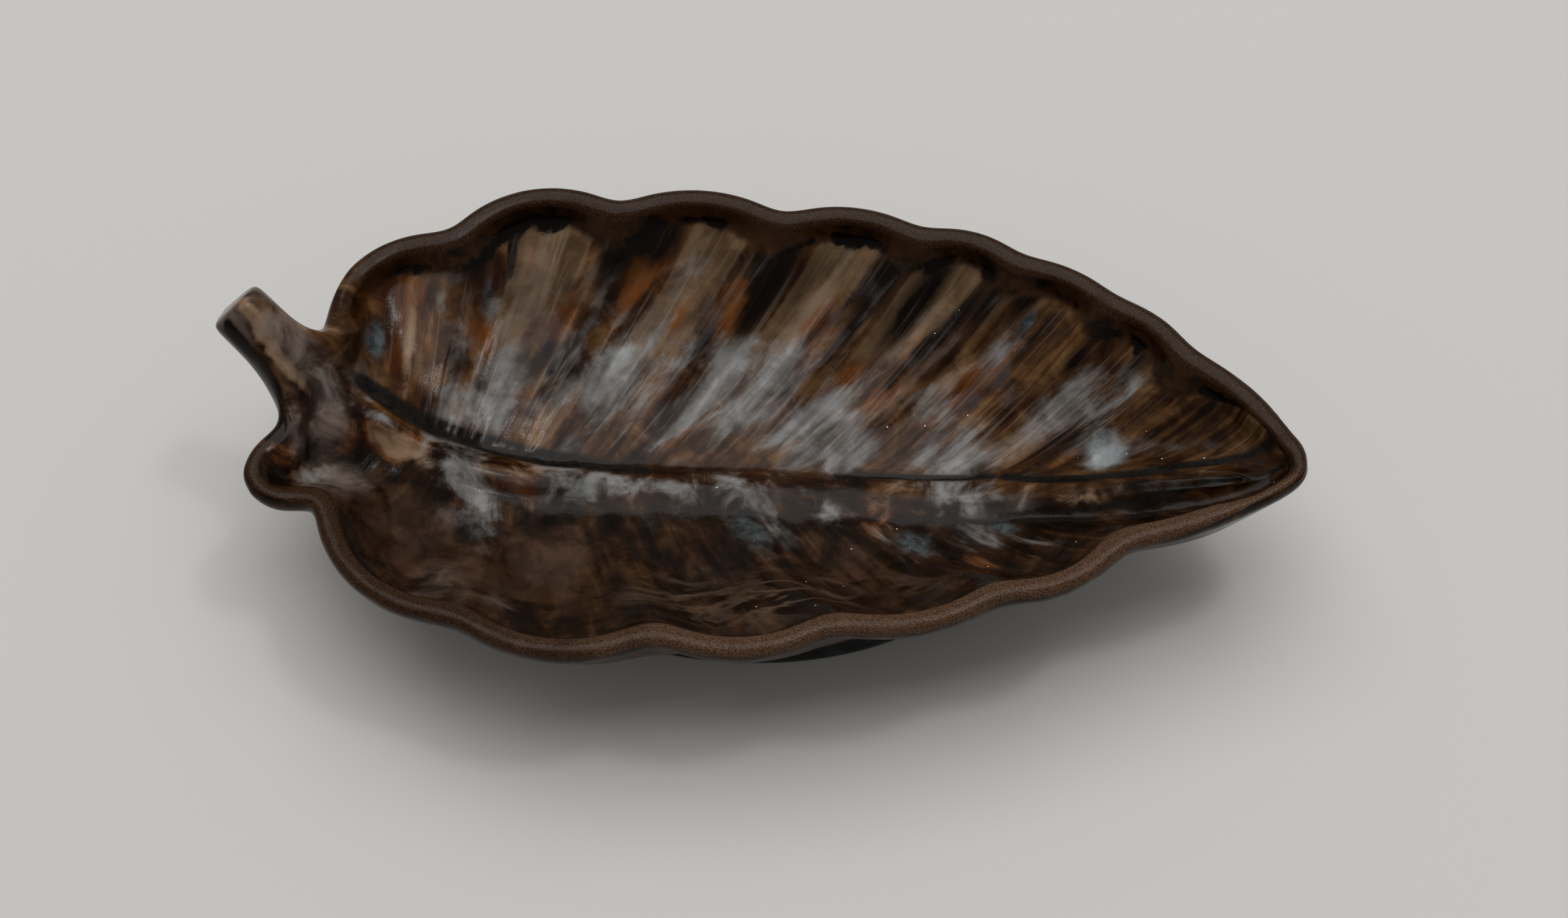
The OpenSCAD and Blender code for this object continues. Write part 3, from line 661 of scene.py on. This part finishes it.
# %% Pools over the body
# Each row is a field on the points, the noise that frays it and how much, the strength at which it
# starts and is full, the noise that mixes its tones, and the tones.
# The milky rows lay partly a painted reflection, the lilac row partly a painted sheen, the dark row partly painted
# shade, and the groove row painted shade.
POOLS = (
    ("stem", "clouds", 0.5, 0.1, 1.0, "clouds", "#171010", "#594c44"),
    ("warm", "clouds", 1.4, 0.1, 1.0, "patches", "#2d1b10", "#483427"),
    ("lit_panel", "clouds", 0.4, 0.3, 0.7, "grain", "#3b2a1b", "#6b543d"),
    ("amber", "patches", 2.4, 0.25, 0.7, "streaks", "#331502", "#6b3f19"),
    ("tan", "patches", 2.4, 0.22, 0.85, "grain", "#553c28", "#8b715a"),
    ("lilac_and_sheen", "clouds", 1.0, 0.15, 0.95, "patches", "#3a2e28", "#73655c"),
    ("milky_and_reflection", "patches", 3.0, 0.2, 1.0, "grain", "#4a443e", "#868686"),
    ("milky_and_reflection", "grain", 3.0, 0.8, 1.6, "streaks", "#6c7275", "#a9acad"),
    ("slate", "clouds", 1.2, 0.3, 0.9, "mottle", "#22282b", "#4c5355"),
    ("dark", "grain", 1.8, 0.15, 0.75, "hairs", "#040100", "#120701"),
    ("groove", "clouds", 1.0, 0.06, 0.65, "mottle", "#080605", "#191410"),
    ("pale", "clouds", 0.8, 0.2, 0.9, "clouds", "#72787a", "#9ba1a2"),
)
for row in POOLS:
    colour = laid_over(colour, *row)
print("pools laid", len(POOLS))

# %% Pale hairlines down the flutes
hairline = add_node(
    glaze, "ShaderNodeMapRange", {"interpolation_type": "SMOOTHSTEP"}, Value=hairs, From_Min=0.54, From_Max=0.72
)
fluted = add_node(glaze, "ShaderNodeAttribute", {"attribute_name": "fluted"}).outputs["Fac"]
hairline = add_node(glaze, "ShaderNodeMath", {"operation": "MULTIPLY"}, i0=hairline.outputs[0], i1=fluted)
colour = add_node(
    glaze, "ShaderNodeMix", {"data_type": "RGBA"}, i0=hairline.outputs[0], i6=colour, i7=linear("#968a7f")
).outputs[2]
print("hairlines laid")

# %% Pale swirls on the near wall
# A line is drawn where a slow noise crosses its middle, which gives thin loops that never cross.
SWIRLS_PER_M = (48, 105, 80)
swirl_place = add_node(
    glaze, "ShaderNodeVectorMath", {"operation": "MULTIPLY"}, i0=skin_place, i1=SWIRLS_PER_M
).outputs[0]
swirl_noise = add_node(
    glaze, "ShaderNodeTexNoise", Vector=swirl_place, Scale=1.0, Detail=3.0, Roughness=0.5, Distortion=1.2
).outputs["Fac"]
from_line = add_node(glaze, "ShaderNodeMath", {"operation": "SUBTRACT"}, i0=swirl_noise, i1=0.5)
from_line = add_node(glaze, "ShaderNodeMath", {"operation": "ABSOLUTE"}, i0=from_line.outputs[0])
thread = add_node(
    glaze, "ShaderNodeMapRange", {"interpolation_type": "SMOOTHSTEP"},
    Value=from_line.outputs[0], From_Min=0.0, From_Max=0.075, To_Min=0.6, To_Max=0,
)
swirl = add_node(glaze, "ShaderNodeAttribute", {"attribute_name": "swirl"}).outputs["Fac"]
thread = add_node(glaze, "ShaderNodeMath", {"operation": "MULTIPLY"}, i0=thread.outputs[0], i1=swirl).outputs[0]
colour = add_node(
    glaze, "ShaderNodeMix", {"data_type": "RGBA"}, i0=thread, i6=colour, i7=linear("#665241")
).outputs[2]
print("swirls laid")

# %% Specks of kiln dust
# The real specks are 0.1 to 0.3 mm, and they are drawn at the larger size, so that they show.
SPECKS_PER_M = 330
SPECK_R = 0.05
cells = add_node(glaze, "ShaderNodeTexVoronoi", Vector=skin_place, Scale=SPECKS_PER_M)
speck = add_node(glaze, "ShaderNodeMath", {"operation": "LESS_THAN"}, i0=cells.outputs["Distance"], i1=SPECK_R)
pick = add_node(glaze, "ShaderNodeSeparateColor", Color=cells.outputs["Color"])
dusty = add_node(glaze, "ShaderNodeAttribute", {"attribute_name": "dusty"}).outputs["Fac"]
picked = add_node(glaze, "ShaderNodeMath", {"operation": "LESS_THAN"}, i0=pick.outputs[0], i1=dusty)
speck = add_node(glaze, "ShaderNodeMath", {"operation": "MULTIPLY"}, i0=speck.outputs[0], i1=picked.outputs[0])
colour = add_node(
    glaze, "ShaderNodeMix", {"data_type": "RGBA"}, i0=speck.outputs[0], i6=colour, i7=linear("#b9b2a6")
).outputs[2]
print("specks in cells of", round(1000 / SPECKS_PER_M, 1), "mm")

# %% Outside, painted shade on lip and crease, rim and painted sheen
DUST_PER_M = 4800
dust = add_node(
    glaze, "ShaderNodeTexNoise", Vector=skin_place, Scale=DUST_PER_M, Detail=2.0, Roughness=0.6
).outputs["Fac"]
noises["dust"] = dust
# The lip and crease rows are painted shade, and the sheen row is a painted highlight.
EDGES = (
    ("outside", "clouds", 0.0, 0.1, 0.9, "grain", "#140802", "#3e220f"),
    ("lip", "mottle", 0.9, 0.1, 0.9, "clouds", "#0d0501", "#2f1b0a"),
    ("rim", "clouds", 0.5, 0.2, 0.8, "dust", "#150903", "#3c2613"),
    ("painted_rim_sheen", "clouds", 1.6, 0.2, 1.0, "dust", "#2c1b11", "#5d4432"),
    ("crease", "mottle", 1.3, 0.3, 0.65, "mottle", "#030101", "#090402"),
)
for row in EDGES:
    colour = laid_over(colour, *row)
print("edges laid", len(EDGES))

# %% Gloss and fine bump
WAVES_PER_M = 150
waves = add_node(glaze, "ShaderNodeTexNoise", Vector=skin_place, Scale=WAVES_PER_M, Detail=1.0, Roughness=0.4)
wavy = add_node(glaze, "ShaderNodeBump", Strength=0.6, Distance=0.0009, Height=waves.outputs["Fac"])
peel = add_node(glaze, "ShaderNodeBump", Strength=0.3, Distance=0.0001, Height=mottle, Normal=wavy.outputs[0])
fine = add_node(glaze, "ShaderNodeBump", Strength=0.3, Distance=0.00005, Height=dust, Normal=peel.outputs[0])
raised = add_node(glaze, "ShaderNodeBump", Strength=0.4, Distance=0.0002, Height=thread, Normal=fine.outputs[0])
combed = add_node(glaze, "ShaderNodeBump", Strength=0.4, Distance=0.0001, Height=hairs, Normal=raised.outputs[0])
gloss = add_node(
    glaze, "ShaderNodeMapRange", Value=mottle, From_Min=0.3, From_Max=0.7, To_Min=0.05, To_Max=0.15
).outputs[0]
rim = add_node(glaze, "ShaderNodeAttribute", {"attribute_name": "rim"}).outputs["Fac"]
gloss = add_node(glaze, "ShaderNodeMath", {"operation": "MULTIPLY_ADD"}, i0=rim, i1=0.16, i2=gloss)
leaf_shader = add_node(
    glaze, "ShaderNodeBsdfPrincipled", Base_Color=colour, Roughness=gloss.outputs[0], Normal=combed.outputs[0], IOR=1.5,
    Specular_IOR_Level=0.12,
)
add_node(glaze, "ShaderNodeOutputMaterial", Surface=leaf_shader.outputs[0])
leaf.data.materials.clear()
leaf.data.materials.append(glaze)
print("leaf glaze nodes", len(glaze.node_tree.nodes))

# %% Foot glaze
black_glaze = new_material("black_gloss_glaze")
BREAK_PER_M = 110
foot_place = add_node(black_glaze, "ShaderNodeTexCoord").outputs["Object"]
breaks = add_node(
    black_glaze, "ShaderNodeTexNoise", Vector=foot_place, Scale=BREAK_PER_M, Detail=4.0, Roughness=0.6, Distortion=0.8
).outputs["Fac"]
thin = add_node(
    black_glaze, "ShaderNodeMapRange", {"interpolation_type": "SMOOTHSTEP"}, Value=breaks, From_Min=0.48, From_Max=0.68
)
foot_colour = add_node(
    black_glaze, "ShaderNodeMix", {"data_type": "RGBA"}, i0=thin.outputs[0], i6=linear("#060506"), i7=linear("#23262b")
)
ripple = add_node(black_glaze, "ShaderNodeBump", Strength=0.3, Distance=0.0001, Height=breaks)
foot_shader = add_node(
    black_glaze, "ShaderNodeBsdfPrincipled", Base_Color=foot_colour.outputs[2], Roughness=0.12, IOR=1.5,
    Specular_IOR_Level=0.3, Normal=ripple.outputs[0],
)
add_node(black_glaze, "ShaderNodeOutputMaterial", Surface=foot_shader.outputs[0])
foot.data.materials.clear()
foot.data.materials.append(black_glaze)
print("foot glaze nodes", len(black_glaze.node_tree.nodes))

# %% Tie the pieces to the frame
for piece, node, slot in ((leaf, "leaf_bowl", "leaf_glaze"), (foot, "foot_ring", "foot_glaze")):
    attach(piece, "root")
    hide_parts(node)
